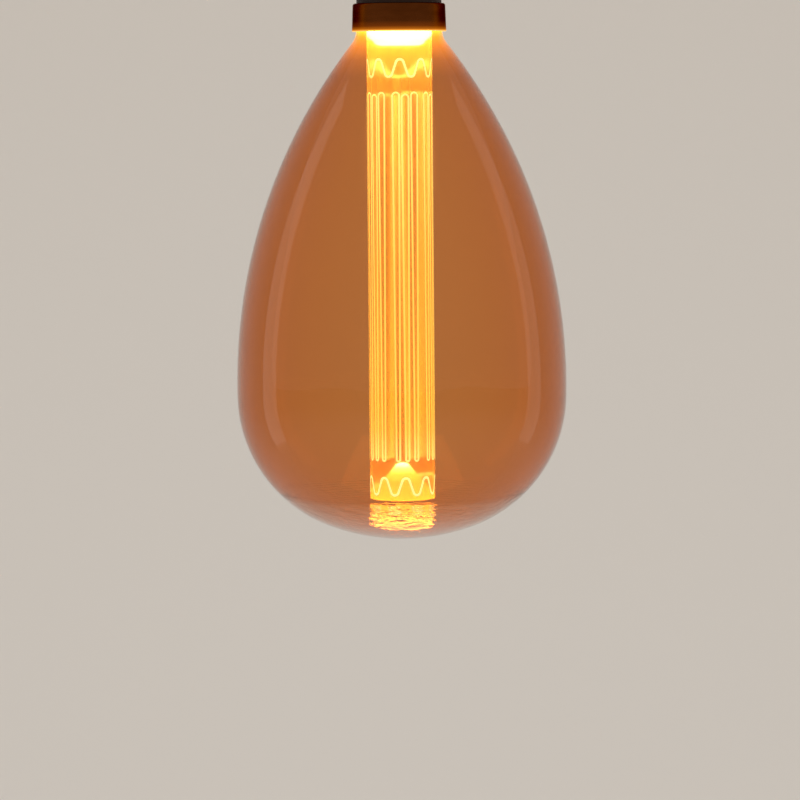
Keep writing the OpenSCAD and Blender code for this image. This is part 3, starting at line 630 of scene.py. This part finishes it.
# The lines are whitest next to the LEDs and at the guide's lit end
line_light = Material("engraved_line", base_color=(0.9, 0.7, 0.35), roughness=0.6)
line_light.glow(line_light.ramp_by_height(
    RIM, GUIDE_END,
    (0.05, (0.6, 1, 0.9)), (0.12, (0.6, 0.95, 0.65)), (0.22, (0.6, 0.85, 0.45)),
    (0.5, (0.6, 0.65, 0.25)), (0.85, (0.6, 0.65, 0.2)), (0.93, (0.6, 1, 0.7)),
    (1.0, (0.6, 1, 0.9))), strength=2.1)
line_light.texture(scale=2600, strength=0.5, distance=0.04 * MM)
stem_light = Material("engraved_stem", base_color=(0.9, 0.6, 0.25), roughness=0.6)
stem_light.glow((1, 0.62, 0.14), strength=0.9)

for piece in (hairpins, upper_band, lower_band):
    finish_with(piece, line_light)
finish_with(stems, stem_light)


# ---- Collar ----

def collar_outline():
    """Round lip, side, rounded top edge and the top with its hole, as one closed section."""
    lip = (COLLAR_RIM_R - COLLAR_WALL / 2, RIM + COLLAR_WALL / 2)
    edge = (COLLAR_TOP_R - COLLAR_EDGE_R, COLLAR_TOP - COLLAR_EDGE_R)
    outline = [(lip[0] - COLLAR_WALL / 2, lip[1])]
    outline += arc(lip, COLLAR_WALL / 2, pi, tau, 12)
    outline += [(edge[0] + COLLAR_EDGE_R, edge[1])]
    outline += arc(edge, COLLAR_EDGE_R, 0, pi / 2, 12)
    outline += [(COLLAR_HOLE_R, COLLAR_TOP), (COLLAR_HOLE_R, COLLAR_TOP - COLLAR_WALL),
                (edge[0], COLLAR_TOP - COLLAR_WALL)]
    outline += arc(edge, COLLAR_EDGE_R - COLLAR_WALL, pi / 2, 0, 6)
    return outline


collar = revolve("collar_ring", collar_outline(), closed=True)
place(collar, "collar_metal", "collar")

# Dark bronze, drawn, so its marks run round it. Its glow is painted light: the lit neck's light on
# its lip
bronze = Material("dark_bronze", metallic=1.0, specular_tint=(0.3, 0.12, 0.04))
bronze.mottle((0.1, 0.024, 0.004), (0.15, 0.038, 0.007), scale=60, detail=4, per_axis=(1, 1, 3))
bronze.uneven_gloss(0.16, 0.3, scale=400, per_axis=(1, 1, 6))
bronze.texture(scale=1800, strength=0.12, distance=0.05 * MM, per_axis=(1, 1, 12))
bronze.glow(bronze.ramp_by_height(
    RIM, RIM + COLLAR_GLOW_H,
    (0.0, (1, 0.7, 0.25)), (0.08, (0.8, 0.3, 0.03)), (0.22, (0.3, 0.08, 0.003)),
    (0.5, (0.07, 0.012, 0)), (1.0, (0, 0, 0))), strength=1.2)
finish_with(collar, bronze)


# ---- Screw cap ----

def shell_rows(inset):
    """Rows of the shell's surface, from the turned-in top edge down to the flared rim. Each is
    (radius without thread, height, share of the thread's wave, share that is filled to the
    crest)."""
    root = THREAD_CREST_R - THREAD_DEPTH - inset
    thread_top = SHELL_TOP - CURL_R
    curl = (root + inset - CURL_R, thread_top)
    thread_low = CAP_RIM + SHELL_RIM_H + BAND_H
    rows = [(root - CURL_R + inset, SHELL_TOP - inset, 0, 0)]
    rows += [(r, z, 0, 0) for r, z in arc(curl, CURL_R - inset, pi / 2, 0, 8)]
    for r, z in straight((root, thread_top), (root, thread_low), THREAD_ROWS):
        from_top = (thread_top - z) / THREAD_PITCH
        from_low = (z - thread_low) / THREAD_PITCH
        rows.append((r, z, min(1, from_top / THREAD_RUN_IN),
                     max(0, 1 - from_low / THREAD_RUN_OUT)))
    rows += [(THREAD_CREST_R - inset, CAP_RIM + SHELL_RIM_H + BAND_H * i / 4, 0, 0)
             for i in (3, 2, 1, 0)]
    rows += [(SHELL_RIM_R - inset, CAP_RIM + SHELL_RIM_EDGE, 0, 0),
             (SHELL_RIM_R - inset, CAP_RIM, 0, 0)]
    return rows


def shell_radius(row, turn):
    """The radius of one of the shell's rows at a share of the turn: the wave is a helix."""
    radius, z, share, filled = row
    wave = min(1, max(0, 0.5 + THREAD_WAVE * cos(tau * (z / THREAD_PITCH - turn))))
    return radius + THREAD_DEPTH * (wave * share * (1 - filled) + filled)


def make_shell(segments=144):
    """The shell as one closed sheet."""
    mesh_data = bmesh.new()
    rings = [make_ring(mesh_data, row[1], segments, lambda turn: shell_radius(row, turn))
             for row in shell_rows(0) + shell_rows(SHEET)[::-1]]
    grid_faces(mesh_data, rings, closed_rows=True)
    return finish_mesh("thread_shell", mesh_data)


shell = place(make_shell(), "cap_metal", "screw_shell")
nickel = Material("nickel_plate", metallic=1.0)
nickel.mottle((0.66, 0.63, 0.57), (0.78, 0.75, 0.69), scale=90, detail=4)
nickel.uneven_gloss(0.2, 0.42, scale=500, detail=5, per_axis=(1, 1, 3))
nickel.texture(scale=2200, strength=0.15, distance=0.05 * MM, per_axis=(1, 1, 4))
finish_with(shell, nickel)


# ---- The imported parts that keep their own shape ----

def plastic(name, colour, other, low=0.4, high=0.55, scale=120):
    """A moulded or lacquered finish that drifts between two tones and two roughnesses."""
    made = Material(name)
    made.mottle(colour, other, scale)
    made.uneven_gloss(low, high, 3 * scale)
    made.texture(scale=2400, strength=0.15, distance=0.04 * MM)
    return made


def metal(name, colour, other, low=0.2, high=0.4, scale=150, per_axis=(1, 1, 1)):
    """The same for metal. Turned or drawn metal has more marks along z, so they run round."""
    made = Material(name, metallic=1.0)
    made.mottle(colour, other, scale, detail=4, per_axis=per_axis)
    made.uneven_gloss(low, high, 4 * scale, per_axis=per_axis)
    made.texture(scale=2600, strength=0.2, distance=0.04 * MM, per_axis=per_axis)
    return made


# Each has a name, two tones and, unless it is an ordinary one, its lowest and highest roughness
# and the scale of its mottle
housing = plastic("dark_moulding", (0.018, 0.006, 0.003), (0.026, 0.01, 0.005), 0.5, 0.62)
housing.set(specular_ior_level=0.2)
cement = plastic("cement", (0.72, 0.66, 0.54), (0.84, 0.79, 0.68), 0.85, 0.95, 500)
black_glass = plastic("black_glass", (0.012, 0.01, 0.014), (0.022, 0.02, 0.028), 0.06, 0.16, 300)
tinned = metal("tinned_brass", (0.66, 0.64, 0.58), (0.78, 0.76, 0.72), 0.22, 0.45, 600)
white_ring = plastic("white_moulding", (0.82, 0.81, 0.77), (0.88, 0.87, 0.84), 0.45, 0.6)
# Painted light: a warm glow on the holder's ring for the LEDs' spill of light on it
white_ring.glow((1, 0.72, 0.3), strength=0.5)
solder_mask = plastic("white_solder_mask", (0.82, 0.83, 0.82), (0.9, 0.9, 0.88), 0.35, 0.5, 260)
led_body = plastic("led_body", (0.84, 0.83, 0.78), (0.92, 0.91, 0.87), 0.4, 0.5, 700)
phosphor = plastic("phosphor", (1.0, 0.58, 0.08), (1.0, 0.66, 0.14), 0.25, 0.35, 900)
phosphor.glow((1, 0.82, 0.5), strength=6)
zinc = metal("zinc_steel", (0.56, 0.57, 0.6), (0.68, 0.68, 0.68), 0.25, 0.4, 500)
pad_rubber = plastic("silicone_pad", (0.46, 0.53, 0.62), (0.54, 0.61, 0.7), 0.75, 0.9, 400)
turned = metal("turned_aluminium", (0.7, 0.71, 0.73), (0.8, 0.81, 0.83), 0.25, 0.4, 160, (1, 1, 10))
board_green = plastic("circuit_board", (0.03, 0.15, 0.06), (0.05, 0.2, 0.08), 0.3, 0.45, 700)
black_chip = plastic("black_chip", (0.025, 0.025, 0.028), (0.04, 0.04, 0.044), 0.45, 0.6, 900)
resistor = plastic("chip_resistor", (0.025, 0.025, 0.028), (0.04, 0.04, 0.044), 0.35, 0.5, 900)
dipped = plastic("dipped_resin", (0.42, 0.04, 0.02), (0.52, 0.07, 0.04), 0.15, 0.3, 500)
can = metal("drawn_can", (0.72, 0.73, 0.75), (0.82, 0.83, 0.85), 0.15, 0.3, 200, (1, 1, 6))
sleeve = plastic("shrunk_sleeve", (0.03, 0.045, 0.16), (0.05, 0.07, 0.21), 0.25, 0.4, 300)
ferrite = plastic("ferrite", (0.09, 0.09, 0.1), (0.14, 0.14, 0.15), 0.6, 0.8, 900)
winding = metal("enamelled_copper", (0.42, 0.16, 0.05), (0.56, 0.25, 0.09), 0.2, 0.35, 300)
lacquer = plastic("green_lacquer", (0.1, 0.32, 0.2), (0.16, 0.42, 0.27), 0.3, 0.45, 600)
brown_wire = plastic("brown_insulation", (0.2, 0.075, 0.03), (0.27, 0.11, 0.045), scale=500)
blue_wire = plastic("blue_insulation", (0.03, 0.09, 0.38), (0.05, 0.13, 0.47), scale=500)
red_wire = plastic("red_insulation", (0.48, 0.03, 0.02), (0.58, 0.05, 0.035), scale=500)
black_wire = plastic("black_insulation", (0.025, 0.025, 0.025), (0.045, 0.045, 0.045), scale=500)
solder = metal("solder", (0.62, 0.62, 0.65), (0.72, 0.72, 0.74), 0.2, 0.4, 700)


def tin_beyond(material, source, middle, reach):
    """Tinned metal in place of a material's own colour, where source, a length along an axis,
    is further than reach from middle."""
    away = material.math("ABSOLUTE", material.math("SUBTRACT", source, middle))
    mask = material.math("GREATER_THAN", away, reach + BODY_SLACK)
    base = material.shader.inputs["Base Color"]
    own_colour = base.links[0].from_socket
    material.feed(material.blend("MIX", mask, own_colour, (0.7, 0.69, 0.66)), base)
    material.feed(mask, material.shader.inputs["Metallic"])


# Legs, end caps and wires are of metal. They lie past the moulded bodies along x, or along z
tin_beyond(black_chip, black_chip.axes()[0], 0, CHIP_HALF_W)
resistor_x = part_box("sense_resistors")[1].x - RESISTOR_L / 2
side_x = resistor.math("ABSOLUTE", resistor.axes()[0])
tin_beyond(resistor, side_x, resistor_x, RESISTOR_L / 2 - RESISTOR_END)
fuse_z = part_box("fuse_resistor")[1].z - FUSE_WIRE - FUSE_L / 2
tin_beyond(lacquer, lacquer.axes()[2], fuse_z, FUSE_L / 2)
wound_low, wound_top = (corner.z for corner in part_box("choke_winding"))
tin_beyond(ferrite, ferrite.axes()[2], (wound_low + wound_top) / 2,
           (wound_top - wound_low) / 2 + CHOKE_FLANGE)


def make_winding(segments=48, rows_per_turn=8):
    """One layer of touching turns on the bobbin, as one closed body: its outside is a helix of
    round ridges."""
    low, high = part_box("choke_winding")
    middle = (low + high) / 2
    outer = (high.x - low.x) / 2
    bore = outer / 2

    def ridge_radius(z, turn):
        across = 2 * ((z / WIRE_PITCH - turn) % 1) - 1
        return outer - WIRE_PITCH / 2 * (1 - sqrt(1 - across * across))

    rows = round((high.z - low.z) / WIRE_PITCH * rows_per_turn)
    mesh_data = bmesh.new()
    rings = [make_ring(mesh_data, z, segments, lambda turn: ridge_radius(z, turn), middle)
             for z in [low.z + (high.z - low.z) * i / rows for i in range(rows + 1)]]
    rings += [make_ring(mesh_data, z, segments, lambda turn: bore, middle)
              for z in (high.z, low.z)]
    grid_faces(mesh_data, rings, closed_rows=True)
    return finish_mesh("wound_choke", mesh_data, sharp=80)


choke = place(make_winding(), "winding", "choke_winding")
finish_with(choke, winding)

nodes = frame["nodes"]
for node_name, material in {
    "neck_cement": cement, "driver_housing": housing, "cap_insulator": black_glass,
    "centre_contact": tinned, "guide_holder": white_ring, "led_board": solder_mask,
    "led_packages": led_body, "led_phosphors": phosphor, "board_screws": zinc,
    "thermal_pad": pad_rubber, "heat_sink": turned, "driver_board": board_green,
    "bridge_rectifier": black_chip, "driver_chip": black_chip, "sense_resistors": resistor,
    "film_capacitor": dipped, "smoothing_capacitor": can, "capacitor_sleeve": sleeve,
    "choke_core": ferrite, "fuse_resistor": lacquer,
    "live_lead": brown_wire, "neutral_lead": blue_wire, "led_lead_positive": red_wire,
    "led_lead_negative": black_wire, "led_solder": solder,
}.items():
    finish_with(nodes[node_name], material)


# ---- Stage, light and camera ----

def make_stage():
    """A floor that turns up into a backdrop in one sweep."""
    section = [(-STAGE_REACH, FLOOR_Z), (BACK_Y - SWEEP_R, FLOOR_Z)]
    section += arc((BACK_Y - SWEEP_R, FLOOR_Z + SWEEP_R), SWEEP_R, -pi / 2, 0, 24)
    section += [(BACK_Y, BACK_TOP)]
    mesh_data = bmesh.new()
    rows = [[mesh_data.verts.new((x, y, z)) for x in (-STAGE_REACH, STAGE_REACH)]
            for y, z in section]
    for one, two in zip(rows, rows[1:]):
        mesh_data.faces.new((one[0], one[1], two[1], two[0]))
    stage = finish_mesh("stage", mesh_data)
    finish_with(stage, Material("stage_paper", base_color=(0.84, 0.8, 0.75), roughness=0.9))


def turn_towards(spot, aim):
    """The rotation of a lamp or camera at spot that looks at aim."""
    return (Vector(aim) - Vector(spot)).to_track_quat("-Z", "Y").to_euler()


def make_lamp(name, spot, aim, size, power, mirrored=True):
    """A soft rectangular lamp. The bulb mirrors it if asked, and the camera never sees it."""
    lamp = bpy.data.lights.new(name, "AREA")
    lamp.shape = "RECTANGLE"
    lamp.size, lamp.size_y = size
    lamp.energy = power
    holder = bpy.data.objects.new(name, lamp)
    holder.location = spot
    holder.rotation_euler = turn_towards(spot, aim)
    holder.visible_glossy = mirrored
    holder.visible_camera = False
    bpy.context.scene.collection.objects.link(holder)


def make_world():
    """An even pale studio round the bulb."""
    world = bpy.data.worlds.new("studio")
    bpy.context.scene.world = world
    world.use_nodes = True
    background = world.node_tree.nodes["Background"]
    background.inputs["Color"].default_value = (*STUDIO_TONE, 1)
    background.inputs["Strength"].default_value = STUDIO_STRENGTH


def make_camera():
    """The photograph's view: from a little below the collar's rim, and FRAME_W wide at the bulb."""
    camera_data = bpy.data.cameras.new("photo_view")
    camera_data.sensor_width = SENSOR_W
    camera_data.lens = SENSOR_W * VIEW_DISTANCE / FRAME_W
    camera = bpy.data.objects.new("photo_view", camera_data)
    camera.location = (VIEW_X, -VIEW_DISTANCE, EYE_Z)
    camera.rotation_euler = turn_towards(camera.location, (VIEW_X, 0, AIM_Z))
    camera.rotation_euler.rotate_axis("Z", CAMERA_ROLL)
    bpy.context.scene.collection.objects.link(camera)
    bpy.context.scene.camera = camera


make_stage()
make_lamp("left_strip", (-1.5, 0.35, -0.2), (0, 0, -0.2), STRIP_SIZE, power=1.6)
make_lamp("right_strip", (1.5, 0.35, -0.2), (0, 0, -0.2), STRIP_SIZE, power=1.2)
make_lamp("overhead", (0, -0.6, 2.2), (0, 0, -0.3), OVERHEAD_SIZE, power=38,
          mirrored=False)
make_world()
make_camera()
bpy.context.scene.view_settings.view_transform = "Standard"
